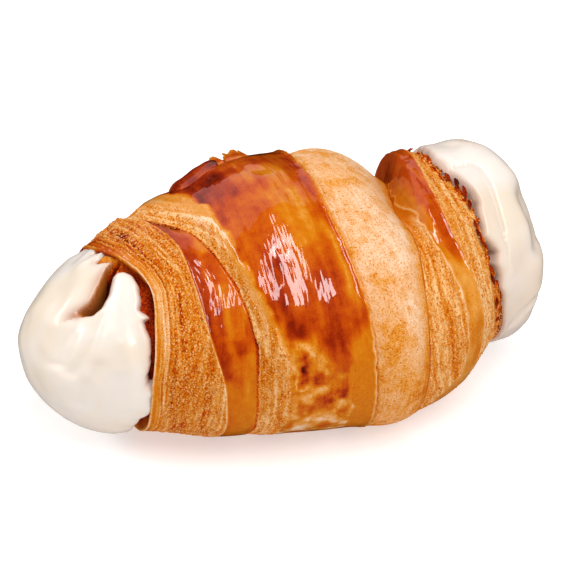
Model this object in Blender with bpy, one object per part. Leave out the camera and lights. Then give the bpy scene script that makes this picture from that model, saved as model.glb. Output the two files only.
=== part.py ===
"""White chocolate croissant: a roll of laminated dough whose two ends are dipped in white chocolate.

Lengths are in millimetres here and become metres when a mesh is made. X runs along the roll, -Y is the
convex side of the crescent and Z is up. An angle runs round the roll: 0 at the crown, 90 at the convex
side, 180 under it.
"""
import math

import bmesh
import bpy
import numpy as np
from mathutils import Vector

MM = 0.001
GAP = 0.3

# Sections of the roll along its length: place, half width, height of the middle, half height
SECTIONS = (
    (-76.0, 22.0, 25.2, 20.6),
    (-58.0, 25.2, 25.8, 22.1),
    (-45.0, 28.8, 29.4, 25.7),
    (-30.0, 33.5, 29.7, 28.8),
    (-15.0, 37.4, 32.3, 32.4),
    (0.0, 38.8, 30.8, 32.9),
    (15.0, 40.2, 28.6, 33.0),
    (30.0, 35.2, 28.2, 30.1),
    (45.0, 27.6, 32.3, 26.8),
    (57.0, 25.8, 32.7, 27.6),
    (72.0, 22.5, 34.0, 23.4),
)
DOME_LEFT, DOME_LEFT_LENGTH, DOME_LEFT_POWER = -52.0, 23.6, 2.1
DOME_RIGHT, DOME_RIGHT_LENGTH, DOME_RIGHT_POWER = 47.0, 16.4, 3.1
HALF_SPAN = 75.0
BEND, SKEW = 10.4, -3.1
UNDERSIDE_FULLNESS = 2.4
# Lips stand at full height over the crown and fade to this share of it where the tray pressed them
UNDERSIDE_RELIEF = 0.25
RELIEF_FROM, RELIEF_TO = 75.0, 135.0

# Angles at which a lip's place along the roll is given, from the back, over the crown and down the front
LIP_ANGLES = (-135, -90, -45, -15, 10, 35, 60, 90, 130, 180)
LIP_LEFT_RIM = (-55, -58, -57, -54.5, -49.5, -44.5, -44.5, -46, -47, -50)
LIP_LEFT_CREST = (-44, -47, -46, -41, -36, -34, -32.5, -30, -30, -36)
LIP_CENTRE_LEFT = (-34, -41, -45, -41, -31, -26, -23, -23, -23, -27)
LIP_CENTRE_CREST = (-29, -35, -37, -29, -25, -22.5, -19, -16, -17, -22)
LIP_CENTRE_FOLD = (8, 7, 5, 2.5, 1.5, 1.5, 2.5, 3, 5, 7)
LIP_RIGHT_START = (31, 36, 34.5, 28.5, 23.5, 21, 18, 17, 18, 24)
LIP_RIGHT_CREST = (40, 42, 41, 37, 33, 31, 32.5, 34, 31, 36)
LIP_RIGHT_RIM = (47, 47, 45, 41, 39, 41, 40, 43, 45, 46)

# How far each surface stands above or below the roll's smooth form
RIM_LEFT, CREST_LEFT, TUCK_LEFT = 0.8, 1.4, -3.0
SHOULDER_CENTRE, CREST_CENTRE, FOLD_STEP, TUCK_CENTRE = 0.8, 2.6, 0.8, -3.6
TUCK_RIGHT, CREST_RIGHT, RIM_RIGHT = -5.5, 1.2, -1.4
CORE_DEPTH = 4.2
CORE_REACH = 25.0
TUCK_REACH, TUCK_DIVE = 6.0, 2.0
RIDGES, RIDGE_HEIGHT = 3, 0.45
RAGGED_RIM = 0.8

CHOCOLATE_PROUD_LEFT, CHOCOLATE_PROUD_RIGHT = 0.0, 0.9
CHOCOLATE_EDGE_DROP = 1.3
CHOCOLATE_EDGE_LEFT, CHOCOLATE_EDGE_RIGHT = -1.4, 0.4
CHOCOLATE_SCALLOP = 0.9

# The gap of the dough spiral that shows at the left end: places along the roll with their angles
CREVICE_PATH = ((-60.5, 36.0), (-57.5, 34.5), (-54.5, 31.0), (-52.0, 25.5), (-50.0, 19.0), (-48.0, 15.5))
CREVICE_HALF_WIDTH, CREVICE_DEPTH = 1.9, 8.5

# Lifted sheets of dough behind the crown: from, to, angle, height, thickness
LIFTED_SHEETS = ((-31.0, -20.5, -34.0, 1.6, 1.4), (-20.0, -8.0, -32.0, 1.9, 1.1))

AROUND = 60


def smooth_curve(places, values, at):
    """Cubic curve through a few given values."""
    places = np.asarray(places, float)
    values = np.asarray(values, float)
    slopes = np.gradient(values, places)
    i = np.clip(np.searchsorted(places, at) - 1, 0, len(places) - 2)
    step = places[i + 1] - places[i]
    t = (at - places[i]) / step
    start = (1 + 2 * t) * (1 - t) ** 2 * values[i] + t * (1 - t) ** 2 * step * slopes[i]
    return start + t * t * (3 - 2 * t) * values[i + 1] + t * t * (t - 1) * step * slopes[i + 1]


def lip(values, angles):
    """Place along the roll of a lip that closes on itself round the roll."""
    turned = [a + turn for turn in (-360, 0, 360) for a in LIP_ANGLES]
    return smooth_curve(turned, list(values) * 3, (np.degrees(angles) + 180) % 360 - 180)


def roll_surface(x, angles, proud=0.0):
    """Points of the roll's smooth form, moved outwards by proud."""
    places = [row[0] for row in SECTIONS]
    columns = [[row[k] for row in SECTIONS] for k in (1, 2, 3)]
    half_width, middle, half_height = (smooth_curve(places, column, x) for column in columns)
    left = np.clip((DOME_LEFT - x) / (DOME_LEFT_LENGTH + proud), 0, 1) ** DOME_LEFT_POWER
    right = np.clip((x - DOME_RIGHT) / (DOME_RIGHT_LENGTH + proud), 0, 1) ** DOME_RIGHT_POWER
    closing = np.sqrt(np.clip(1 - left - right, 0, 1))
    reach = (half_width + proud) * closing
    rise = (half_height + proud) * closing
    along = x / HALF_SPAN
    slope = (2 * BEND * along + SKEW) / HALF_SPAN
    centre = -BEND * (1 - along ** 2) + SKEW * along
    up, out = np.cos(angles), np.sin(angles)
    power = np.where(up < 0, 2 / UNDERSIDE_FULLNESS, 1.0)
    up = np.sign(up) * np.abs(up) ** power
    out = np.sign(out) * np.abs(out) ** power
    length = np.sqrt(1 + slope ** 2)
    sideways = reach * out / length
    return np.stack([x + slope * sideways, centre - sideways, middle + rise * up], -1)


def ring_angles():
    return np.linspace(0, 2 * math.pi, AROUND, endpoint=False)


def relief(angles):
    """Share of a lip's full height at each angle."""
    from_crown = np.abs((np.degrees(angles) + 180) % 360 - 180)
    fade = np.clip((from_crown - RELIEF_FROM) / (RELIEF_TO - RELIEF_FROM), 0, 1)
    return 1 - (1 - UNDERSIDE_RELIEF) * fade * fade * (3 - 2 * fade)


def mesh_object(name, points, faces):
    mesh = bpy.data.meshes.new(name)
    mesh.from_pydata((np.asarray(points) * MM).tolist(), [], faces)
    tidy = bmesh.new()
    tidy.from_mesh(mesh)
    bmesh.ops.recalc_face_normals(tidy, faces=tidy.faces)
    tidy.to_mesh(mesh)
    tidy.free()
    made = bpy.data.objects.new(name, mesh)
    bpy.context.scene.collection.objects.link(made)
    return made


def loft(name, rings, start=None, end=None):
    """Closed solid through rings of points, with a fan over each end."""
    count = len(rings[0])
    points = [p for ring in rings for p in ring]
    points.append(start if start is not None else rings[0].mean(axis=0))
    points.append(end if end is not None else rings[-1].mean(axis=0))
    faces = []
    for r in range(len(rings) - 1):
        for k in range(count):
            a, b = r * count + k, r * count + (k + 1) % count
            faces.append((a, b, b + count, a + count))
    last = (len(rings) - 1) * count
    for k in range(count):
        faces.append(((k + 1) % count, k, len(points) - 2))
        faces.append((last + k, last + (k + 1) % count, len(points) - 1))
    return mesh_object(name, points, faces)


def rings_between(stops, angles, grow):
    """Rings through stops of place and height, split into columns. A place may differ round the roll."""
    rings = []
    share = relief(angles)
    for (x0, h0, _), (x1, h1, columns) in zip(stops, stops[1:]):
        for t in np.arange(columns) / columns:
            ease = t * t * (3 - 2 * t)
            rings.append(roll_surface(x0 + (x1 - x0) * t, angles, (h0 + (h1 - h0) * ease) * share + grow))
    rings.append(roll_surface(stops[-1][0], angles, stops[-1][1] * share + grow))
    return rings


def left_coil(grow=0.0):
    """Coil round the left end, whose cut layers lie in ridges between its rim and its crest."""
    angles = ring_angles()
    rim = lip(LIP_LEFT_RIM, angles)
    crest = lip(LIP_LEFT_CREST, angles)
    tuck = lip(LIP_CENTRE_LEFT, angles)
    stops = [(rim - grow, RIM_LEFT, 1)]
    ridged = 2 * RIDGES
    for k in range(1, ridged):
        height = RIM_LEFT + (CREST_LEFT - RIM_LEFT) * k / ridged + RIDGE_HEIGHT * (-1) ** k
        stops.append((rim + (crest - rim) * k / ridged, height, 1))
    stops.append((crest, CREST_LEFT, 1))
    tuck = np.maximum(tuck, crest + 0.5)
    stops.append((tuck, TUCK_LEFT, 4))
    stops.append((tuck + TUCK_REACH, TUCK_LEFT - TUCK_DIVE, 1))
    return loft("left_coil", rings_between(stops, angles, grow))


def centre_coil():
    """Outermost coil: a cut shoulder on its left, a broad crown, and a lower fold on its right."""
    angles = ring_angles()
    start = lip(LIP_CENTRE_LEFT, angles)
    crest = lip(LIP_CENTRE_CREST, angles)
    fold = lip(LIP_CENTRE_FOLD, angles)
    tuck = lip(LIP_RIGHT_START, angles)
    stops = [
        (start, SHOULDER_CENTRE, 1),
        (crest, CREST_CENTRE, 3),
        (fold, CREST_CENTRE - 0.4, 6),
        (fold + 0.8, CREST_CENTRE - 0.4 - FOLD_STEP, 1),
        (fold + (tuck - fold) * 0.6, CREST_CENTRE - 1.4, 4),
        (tuck, TUCK_CENTRE, 3),
    ]
    return loft("centre_coil", rings_between(stops, angles, 0.0))


def right_coil(grow=0.0):
    """Coil round the right end, with a ragged rim where its cut layers meet the chocolate."""
    angles = ring_angles()
    start = lip(LIP_RIGHT_START, angles)
    crest = lip(LIP_RIGHT_CREST, angles)
    ragged = RAGGED_RIM * np.sin(7 * angles) * np.sin(11 * angles + 1)
    rim = lip(LIP_RIGHT_RIM, angles) + ragged
    stops = [
        (start - TUCK_REACH, TUCK_RIGHT - TUCK_DIVE, 1),
        (start, TUCK_RIGHT, 1),
        (crest - 3, CREST_RIGHT, 4),
        (crest, CREST_RIGHT - 0.3, 1),
        (rim + grow, RIM_RIGHT, 3),
    ]
    return loft("right_coil", rings_between(stops, angles, grow))


def dome_rings(side, proud, inner, angles, columns):
    """Rings from the tip of an end back to a place along the roll that may differ round it."""
    edge, length = (DOME_LEFT, DOME_LEFT_LENGTH) if side < 0 else (DOME_RIGHT, DOME_RIGHT_LENGTH)
    tip = edge + side * (length + proud)
    rings = []
    for k in range(1, columns + 1):
        share = 1 - math.cos(math.pi / 2 * k / columns)
        rings.append(roll_surface(tip + (inner - tip) * share, angles, proud))
    return rings, roll_surface(tip, 0.0, proud)


def end_roll(side, grow=0.0):
    """Inner roll of one end, the crust that the chocolate coats."""
    angles = ring_angles()
    inner = np.full_like(angles, side * CORE_REACH)
    rings, tip = dome_rings(side, grow - CORE_DEPTH, inner, angles, 11)
    return loft("end_roll", rings, start=tip)


def chocolate(side):
    """Dipped end as a full dome with a blunt, softly scalloped edge, before the crust is taken out of it."""
    angles = ring_angles()
    if side < 0:
        proud = CHOCOLATE_PROUD_LEFT
        edge = lip(LIP_LEFT_RIM, angles) + CHOCOLATE_EDGE_LEFT
    else:
        proud = CHOCOLATE_PROUD_RIGHT
        edge = lip(LIP_RIGHT_RIM, angles) + CHOCOLATE_EDGE_RIGHT
    edge = edge - side * CHOCOLATE_SCALLOP * 0.5 * np.sin(5 * angles + side)
    rings, tip = dome_rings(side, proud, edge + side * 1.6, angles, 10)
    rings.append(roll_surface(edge + side * 0.5, angles, proud - CHOCOLATE_EDGE_DROP * 0.35))
    rings.append(roll_surface(edge, angles, proud - CHOCOLATE_EDGE_DROP))
    name = "white_chocolate_left" if side < 0 else "white_chocolate_right"
    return loft(name, rings, start=tip)


def crevice(grow=0.0):
    """Cutter for the slit between the turns of dough at the left end: a flat tube along the slit."""
    path = np.array([roll_surface(x, math.radians(a), 0.0) for x, a in CREVICE_PATH])
    inward = []
    for x, a in CREVICE_PATH:
        inward.append(roll_surface(x, math.radians(a), -1.0) - roll_surface(x, math.radians(a), 0.0))
    rings = []
    sides = 10
    for i, point in enumerate(path):
        tangent = path[min(i + 1, len(path) - 1)] - path[max(i - 1, 0)]
        tangent /= np.linalg.norm(tangent)
        depth = inward[i] - tangent * (inward[i] @ tangent)
        depth /= np.linalg.norm(depth)
        across = np.cross(tangent, depth)
        share = 0.35 + 0.65 * math.sin(math.pi * (i + 0.5) / len(path))
        ring = []
        for k in range(sides):
            turn = 2 * math.pi * k / sides
            wide = across * math.cos(turn) * (CREVICE_HALF_WIDTH * share + grow)
            ring.append(point + wide + depth * math.sin(turn) * (CREVICE_DEPTH * share + grow))
        rings.append(np.array(ring))
    return loft("crevice", rings)


def lifted_sheet(start, end, angle, height, thickness):
    """Thin sheet of dough that has curled up off the crown, its foot sunk in the coil."""
    rings = []
    for t in np.linspace(0, 1, 7):
        x = start + (end - start) * t
        foot = roll_surface(x, math.radians(angle), 0.5)
        outward = roll_surface(x, math.radians(angle), 1.5) - foot
        back = np.array([0.0, 1.0, 0.0])
        rise = height * math.sin(math.pi * (0.15 + 0.7 * t)) + CREST_CENTRE
        ring = [
            foot - outward * 2 - back * thickness,
            foot + outward * rise * 0.7 - back * thickness * 0.8,
            foot + outward * rise - back * thickness * 0.2,
            foot + outward * rise * 0.95 + back * thickness * 0.5,
            foot - outward * 2 + back * thickness * 2.0,
        ]
        rings.append(np.array(ring))
    return loft("lifted_sheet", rings)


def combine(target, others, operation, solver="EXACT"):
    """Applies one Boolean of a collection to the target and removes what was in the collection."""
    pool = bpy.data.collections.new("operands")
    for other in others:
        pool.objects.link(other)
    change = target.modifiers.new("combine", "BOOLEAN")
    change.operand_type = "COLLECTION"
    change.collection = pool
    change.operation = operation
    change.solver = solver
    bpy.context.view_layer.update()
    graph = bpy.context.evaluated_depsgraph_get()
    result = bpy.data.meshes.new_from_object(target.evaluated_get(graph))
    target.modifiers.remove(change)
    old = target.data
    target.data = result
    bpy.data.meshes.remove(old)
    for other in others:
        bpy.data.objects.remove(other)
    bpy.data.collections.remove(pool)


def below_floor():
    """Block that trims the underside flat at the height on which the roll was baked."""
    reach = 2 * HALF_SPAN
    outline = ((-reach, -reach), (reach, -reach), (reach, reach), (-reach, reach))
    corners = [(x, y, z) for z in (-reach, 0.0) for x, y in outline]
    faces = [(3, 2, 1, 0), (4, 5, 6, 7), (0, 1, 5, 4), (1, 2, 6, 5), (2, 3, 7, 6), (3, 0, 4, 7)]
    return mesh_object("below_floor", corners, faces)


def keep_largest_body(target):
    """Drops loose scraps that a cut may leave, and welds coincident corners."""
    shape = bmesh.new()
    shape.from_mesh(target.data)
    bmesh.ops.remove_doubles(shape, verts=shape.verts, dist=0.00002)
    bmesh.ops.dissolve_degenerate(shape, edges=shape.edges, dist=0.00002)
    left = set(shape.verts)
    bodies = []
    while left:
        found = {left.pop()}
        edge = list(found)
        while edge:
            near = {e.other_vert(v) for v in edge for e in v.link_edges} & left
            left -= near
            found |= near
            edge = list(near)
        bodies.append(found)
    largest = max(bodies, key=len)
    scraps = [v for body in bodies if body is not largest for v in body]
    bmesh.ops.delete(shape, geom=scraps, context="VERTS")
    bmesh.ops.triangulate(shape, faces=shape.faces)
    bmesh.ops.recalc_face_normals(shape, faces=shape.faces)
    shape.to_mesh(target.data)
    shape.free()


def finish(target, name, colour, roughness):
    """Names a piece and gives it its plain material."""
    target.name = name
    target.data.name = name
    material = bpy.data.materials.new(name)
    material.use_nodes = True
    shader = material.node_tree.nodes["Principled BSDF"]
    shader.inputs["Base Color"].default_value = (*colour, 1.0)
    shader.inputs["Roughness"].default_value = roughness
    shader.inputs["Metallic"].default_value = 0.0
    target.data.materials.clear()
    target.data.materials.append(material)
    target.data.shade_smooth()
    target.data.set_sharp_from_angle(angle=math.radians(35))


def centre_on_floor(pieces):
    """Moves the pieces so that the origin is at the middle of their footprint."""
    corners = [Vector(v.co) for piece in pieces for v in piece.data.vertices]
    low = [min(c[k] for c in corners) for k in range(3)]
    high = [max(c[k] for c in corners) for k in range(3)]
    middle = Vector(((low[0] + high[0]) / 2, (low[1] + high[1]) / 2, 0.0))
    for piece in pieces:
        for vertex in piece.data.vertices:
            vertex.co -= middle


def build():
    for old in list(bpy.data.objects):
        bpy.data.objects.remove(old)
    pastry = centre_coil()
    joined = [left_coil(), right_coil(), end_roll(-1), end_roll(1)]
    joined += [lifted_sheet(*sheet) for sheet in LIFTED_SHEETS]
    combine(pastry, joined, "UNION")
    combine(pastry, [below_floor(), crevice()], "DIFFERENCE")
    keep_largest_body(pastry)
    left = chocolate(-1)
    for crust in (end_roll(-1, GAP), left_coil(GAP), crevice(GAP)):
        combine(left, [crust], "DIFFERENCE")
    keep_largest_body(left)
    right = chocolate(1)
    for crust in (end_roll(1, GAP), right_coil(GAP)):
        combine(right, [crust], "DIFFERENCE")
    keep_largest_body(right)
    finish(pastry, "pastry", (0.55, 0.22, 0.05), 0.45)
    finish(left, "white_chocolate_left", (0.90, 0.82, 0.68), 0.3)
    finish(right, "white_chocolate_right", (0.90, 0.82, 0.68), 0.3)
    centre_on_floor([pastry, left, right])


build()
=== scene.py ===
import functools
import itertools
import math

import bpy
import numpy as np
from mathutils import Matrix, Vector


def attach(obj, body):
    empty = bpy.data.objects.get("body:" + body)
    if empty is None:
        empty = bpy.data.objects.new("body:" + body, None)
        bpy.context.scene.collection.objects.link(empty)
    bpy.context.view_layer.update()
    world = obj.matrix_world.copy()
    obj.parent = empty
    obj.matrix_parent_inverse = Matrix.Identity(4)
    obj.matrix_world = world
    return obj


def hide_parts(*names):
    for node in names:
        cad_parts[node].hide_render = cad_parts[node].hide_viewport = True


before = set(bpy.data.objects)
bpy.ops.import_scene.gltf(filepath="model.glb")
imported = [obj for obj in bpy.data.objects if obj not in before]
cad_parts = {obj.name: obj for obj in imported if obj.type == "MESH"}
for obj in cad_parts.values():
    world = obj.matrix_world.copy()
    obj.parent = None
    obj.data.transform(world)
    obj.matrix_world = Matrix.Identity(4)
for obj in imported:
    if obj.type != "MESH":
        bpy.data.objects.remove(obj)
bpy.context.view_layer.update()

MM = 0.001
# From the frame of the roll's own curve to the middle of its footprint
SHIFT = (5.636, 10.417, 0.0)

# Sections of the roll along its length: place, half width, height of the middle, half height
SECTIONS = (
    (-76.0, 22.0, 25.2, 20.6),
    (-58.0, 25.2, 25.8, 22.1),
    (-45.0, 28.8, 29.4, 25.7),
    (-30.0, 33.5, 29.7, 28.8),
    (-15.0, 37.4, 32.3, 32.4),
    (0.0, 38.8, 30.8, 32.9),
    (15.0, 40.2, 28.6, 33.0),
    (30.0, 35.2, 28.2, 30.1),
    (45.0, 27.6, 32.3, 26.8),
    (57.0, 25.8, 32.7, 27.6),
    (72.0, 22.5, 34.0, 23.4),
)
# How the roll closes at its left end, -1, and its right one, 1: from where, over what length, and how square
DOMES = {-1: (-52.0, 23.6, 2.1), 1: (47.0, 16.4, 3.1)}
HALF_SPAN = 75.0
BEND, SKEW = 10.4, -3.1
UNDERSIDE_FULLNESS = 2.4
UNDERSIDE_RELIEF = 0.25
RELIEF_FROM, RELIEF_TO = 75.0, 135.0

# Angles at which a lip's place along the roll is given, from the back, over the crown and down the front
LIP_ANGLES = (-135, -90, -45, -15, 10, 35, 60, 90, 130, 180)
LIP_LEFT_RIM = (-55, -58, -57, -54.5, -49.2, -43.6, -44.0, -45.6, -47, -50)
LIP_LEFT_CREST = (-44, -47, -46, -41, -36, -34, -32.5, -30, -30, -36)
LIP_CENTRE_LEFT = (-34, -41, -45, -41, -31, -26, -23, -23, -23, -27)
LIP_CENTRE_CREST = (-29, -35, -37, -29, -25, -22.5, -19, -16, -17, -22)
LIP_CENTRE_FOLD = (8, 7, 5, 2.5, 1.5, 1.5, 2.5, 3, 5, 7)
LIP_RIGHT_START = (31, 36, 34.5, 28.5, 23.5, 21, 18, 17, 18, 24)
LIP_RIGHT_CREST = (40, 42, 41, 37, 33, 31, 32.5, 34, 31, 36)
LIP_RIGHT_RIM = (47, 47, 45, 41, 39, 41, 40, 43, 45, 46)

# Edge of the white chocolate on each end as (place, angle), and the bare slit in the left one
COAT_LEFT = (
    (-55.3, -40), (-53.2, -30), (-50.6, -14), (-52.6, -13.5), (-54.4, -11), (-52.6, -8), (-49.4, -4),
    (-52.4, -3.5), (-54.2, -1.5), (-53.4, 2), (-50.0, 7), (-51.9, 10.5), (-52.7, 13), (-53.8, 17),
    (-54.8, 21), (-55.7, 24), (-57.3, 28), (-59.6, 31.5), (-59.4, 34), (-57.1, 35.0), (-55.3, 33),
    (-53.8, 29), (-52.8, 25), (-52.3, 21), (-51.7, 17), (-50.0, 15.2), (-48.2, 17.5), (-46.4, 23),
    (-45.6, 30), (-45.7, 38), (-46.2, 44), (-45.2, 47.5), (-44.2, 50), (-45.5, 52), (-45.4, 56),
    (-44.7, 62), (-44.7, 69), (-45.0, 76), (-45.8, 84), (-45.9, 89), (-44.5, 90.5), (-42.9, 88),
    (-43.8, 94), (-44.8, 97), (-44.3, 104), (-45.6, 110), (-47.5, 114), (-48.4, 122), (-49.5, 140),
    (-51.0, 165), (-53.0, 190), (-55.0, 215), (-57.5, 245), (-58.5, 275), (-57.5, 295),
)
COAT_RIGHT = (
    (45.0, -40), (43.4, -28), (41.8, -16), (40.4, -7), (40.2, 2), (39.9, 8), (41.1, 13), (41.8, 19),
    (42.3, 25), (42.2, 32), (41.0, 37), (40.6, 42), (39.5, 50), (40.6, 55), (41.7, 62), (40.7, 66),
    (41.5, 73), (41.3, 82), (42.5, 90), (43.0, 98), (44.4, 110), (45.6, 130), (46.0, 160), (46.5, 190),
    (46.5, 220), (46.8, 250), (46.5, 275), (45.5, 300),
)
SLIT = (
    (-60.4, 33.8), (-58.6, 32.2), (-56.3, 29.5), (-54.9, 25.5), (-53.9, 20.5), (-53.0, 15.5), (-51.4, 11.5),
    (-49.6, 10),
)
# Soft ridges and hollows that each coat set in: path, height, width
LEFT_FOLDS = (
    (((-49.6, 20), (-49.4, 34), (-50.2, 52), (-51.0, 72)), 0.9, 3.2),
    (((-55.5, -14), (-57.5, 6), (-60.5, 22), (-63.5, 36)), 0.7, 3.4),
    (((-60.0, 35), (-62.0, 44), (-64.0, 54), (-65.5, 68)), -1.1, 2.2),
    (((-55.5, 40), (-57.5, 52), (-60.0, 62), (-63.0, 74)), -0.8, 1.7),
    (((-57.5, 70), (-60.0, 82), (-62.0, 96)), -0.6, 2.2),
    (((-50.5, 60), (-49.0, 72), (-48.2, 84)), 0.55, 1.8),
)
RIGHT_FOLDS = (
    (((57.5, 40), (58.5, 58), (58.0, 72)), -1.9, 3.4),
    (((56.0, 84), (56.5, 98)), 0.7, 3.5),
    (((47.7, 114), (50.5, 106), (53.9, 102), (57.0, 101)), -0.7, 1.3),
    (((43.0, 30), (43.2, 44), (44.0, 58), (45.0, 76)), 0.35, 1.6),
)
# Edge of the thicker layer that ran over the right coat
RIGHT_LAYER = (
    (36, 7.5), (40.0, 9), (42.9, 8), (45.9, 10), (47.5, 17), (47.7, 26), (46.9, 36), (46.0, 46), (45.6, 54),
)
ARC = 0.48              # millimetres of skin to a degree round the roll, about the middle of it
MEAN_RADIUS = 34        # of the roll, for patterns that run round it
BASE = {-1: 3.0, 1: 3.4}    # how far the inner roll of each end lies under the roll's smooth form
INNER_LEFT_END = -27.0  # the left inner roll ends here, out of sight inside the coils
FLOOR_SOFTNESS = 0.6    # over this height the skin rounds off to the flat underside
# Large odd numbers that scramble a cell's place and its seed into a random value
PLACE_SCRAMBLE = (73856093, 19349663, 83492791)
SEED_SCRAMBLE = 2654435761


def unit(value):
    """Holds a value between 0 and 1."""
    return np.clip(value, 0, 1)


def ease(low, high, value):
    """Rises smoothly from 0 at low to 1 at high."""
    t = unit((value - low) / (high - low))
    return t * t * (3 - 2 * t)


def between(low, high, soft, value):
    """1 from low to high, fading over soft outside each."""
    return ease(low - soft, low + soft, value) * (1 - ease(high - soft, high + soft, value))


def bump(middle, width, value):
    """1 at middle, falling off smoothly over width."""
    return np.exp(-((value - middle) / width) ** 2)


def smooth_curve(places, values, at):
    """Cubic curve through a few given values."""
    places = np.asarray(places, float)
    values = np.asarray(values, float)
    slopes = np.gradient(values, places)
    i = np.clip(np.searchsorted(places, at) - 1, 0, len(places) - 2)
    step = places[i + 1] - places[i]
    t = (at - places[i]) / step
    start = (1 + 2 * t) * (1 - t) ** 2 * values[i] + t * (1 - t) ** 2 * step * slopes[i]
    return start + t * t * (3 - 2 * t) * values[i + 1] + t * t * (t - 1) * step * slopes[i + 1]


def signed(angle):
    """The same angle from -180 to 180: negative behind the crown, positive in front of it."""
    return (angle + 180) % 360 - 180


def lip(values, angle):
    """Place along the roll of a lip that closes on itself round the roll."""
    turned = [a + turn for turn in (-360, 0, 360) for a in LIP_ANGLES]
    return smooth_curve(turned, list(values) * 3, signed(angle))


def roll_surface(x, angle, proud=0.0):
    """Points of the roll's smooth form, moved outwards by proud."""
    angles = np.radians(angle)
    places = [row[0] for row in SECTIONS]
    columns = [[row[k] for row in SECTIONS] for k in (1, 2, 3)]
    half_width, middle, half_height = (smooth_curve(places, column, x) for column in columns)
    closed = sum(
        unit(side * (x - edge) / (length + proud)) ** power for side, (edge, length, power) in DOMES.items())
    closing = np.sqrt(unit(1 - closed))
    reach = (half_width + proud) * closing
    rise = (half_height + proud) * closing
    along = x / HALF_SPAN
    slope = (2 * BEND * along + SKEW) / HALF_SPAN
    centre = -BEND * (1 - along ** 2) + SKEW * along
    up, out = np.cos(angles), np.sin(angles)
    power = np.where(up < 0, 2 / UNDERSIDE_FULLNESS, 1.0)
    up = np.sign(up) * np.abs(up) ** power
    out = np.sign(out) * np.abs(out) ** power
    length = np.sqrt(1 + slope ** 2)
    sideways = reach * out / length
    return np.stack([x + slope * sideways, centre - sideways, middle + rise * up], -1)


def relief(angle):
    """Share of a lip's full height at each angle: the tray pressed the underside flat."""
    return 1 - (1 - UNDERSIDE_RELIEF) * ease(RELIEF_FROM, RELIEF_TO, np.abs(signed(angle)))


def noise(points, size, seed=0):
    """Smooth random values from -1 to 1 that change over about size."""
    scaled = np.asarray(points) / size
    cell = np.floor(scaled).astype(np.int64)
    part = scaled - cell
    part = part * part * (3 - 2 * part)
    total = np.zeros(scaled.shape[:-1])
    for corner in itertools.product((0, 1), repeat=3):
        at = cell + corner
        mixed = (seed + 11) * SEED_SCRAMBLE
        for k, factor in enumerate(PLACE_SCRAMBLE):
            mixed = mixed ^ at[..., k] * factor
        mixed &= 0xFFFFFFFF
        mixed = (mixed ^ mixed >> 15) * 2246822519 & 0xFFFFFFFF
        mixed = (mixed ^ mixed >> 13) * 3266489917 & 0xFFFFFFFF
        mixed ^= mixed >> 16
        weight = np.where(corner, part, 1 - part).prod(axis=-1)
        total += weight * (mixed / 2147483648.0 - 1)
    return total


def fractal(points, size, octaves=3, seed=0):
    """Noise with finer noise laid over it, each octave half as wide."""
    total, share = 0, 1.0
    for k in range(octaves):
        total += share * noise(points, size / 2 ** k, seed + 7 * k)
        share *= 0.55
    return total


def streaks(across, angle, width, length, seed=0):
    """Random lines that follow the lips: narrow across the roll, long round it."""
    turn = np.radians(angle)
    round_it = MEAN_RADIUS / length
    return noise(np.stack([across / width, np.cos(turn) * round_it, np.sin(turn) * round_it], -1), 1.0, seed)


def thin_lines(across, angle, spacing, length, width, seed=0):
    """Fine irregular edges of layers that run round the roll, 1 on a line and 0 away from it."""
    wander = 0.6 * streaks(across, angle, 4 * spacing, length, seed + 1)
    return unit(1 - np.abs(streaks(across + wander, angle, spacing, length, seed)) / width)


def segment_distance(px, py, ax, ay, bx, by):
    """Distance to a straight line from a to b, the share of it at its nearest point, and on which side."""
    ex, ey = bx - ax, by - ay
    t = unit(((px - ax) * ex + (py - ay) * ey) / (ex * ex + ey * ey))
    side = np.sign(ex * (py - ay) - ey * (px - ax))
    return np.hypot(px - ax - t * ex, py - ay - t * ey), t, side


def outline_distance(outline, x, angle, closed_at):
    """Distance in millimetres to the edge of a coat, positive under the coat, which reaches to closed_at."""
    turned = signed(angle)
    start = outline[0][1]
    turned = np.where(turned < start, turned + 360, turned)
    corners = [(closed_at, start - 30)] + [(outline[0][0], start - 30)] + list(outline)
    corners += [(outline[-1][0], start + 390), (closed_at, start + 390)]
    corners = np.array(corners, float) * (1.0, ARC)
    px, py = x, turned * ARC
    nearest = np.full(px.shape, 1e9)
    inside = np.zeros(px.shape, bool)
    for k, (ax, ay) in enumerate(corners):
        bx, by = corners[(k + 1) % len(corners)]
        nearest = np.minimum(nearest, segment_distance(px, py, ax, ay, bx, by)[0])
        if ay != by:
            crossing = (ay > py) != (by > py)
            inside ^= crossing & (px < ax + (py - ay) * (bx - ax) / (by - ay))
    return np.where(inside, nearest, -nearest)


def path_distance(path, x, angle):
    """Distance to a path in millimetres, how far along it, and on which side."""
    points = np.array(path, float) * (1.0, ARC)
    px, py = x, signed(angle) * ARC
    nearest, along, side = np.full(px.shape, 1e9), np.zeros(px.shape), np.zeros(px.shape)
    for k in range(len(points) - 1):
        away, t, which = segment_distance(px, py, *points[k], *points[k + 1])
        closer = away < nearest
        nearest = np.where(closer, away, nearest)
        along = np.where(closer, (k + t) / (len(points) - 1), along)
        side = np.where(closer, which, side)
    return nearest, along, side


def in_scene(name, data):
    """New object in the scene that holds data."""
    item = bpy.data.objects.new(name, data)
    bpy.context.scene.collection.objects.link(item)
    return item


def set_attribute(mesh, key, values, vector=False):
    """Stores a number at each point of a mesh, or three for a vector."""
    kind, field = ("FLOAT_VECTOR", "vector") if vector else ("FLOAT", "value")
    stored = mesh.attributes.new(key, kind, "POINT")
    stored.data.foreach_set(field, np.asarray(values, np.float32).ravel())


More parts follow.
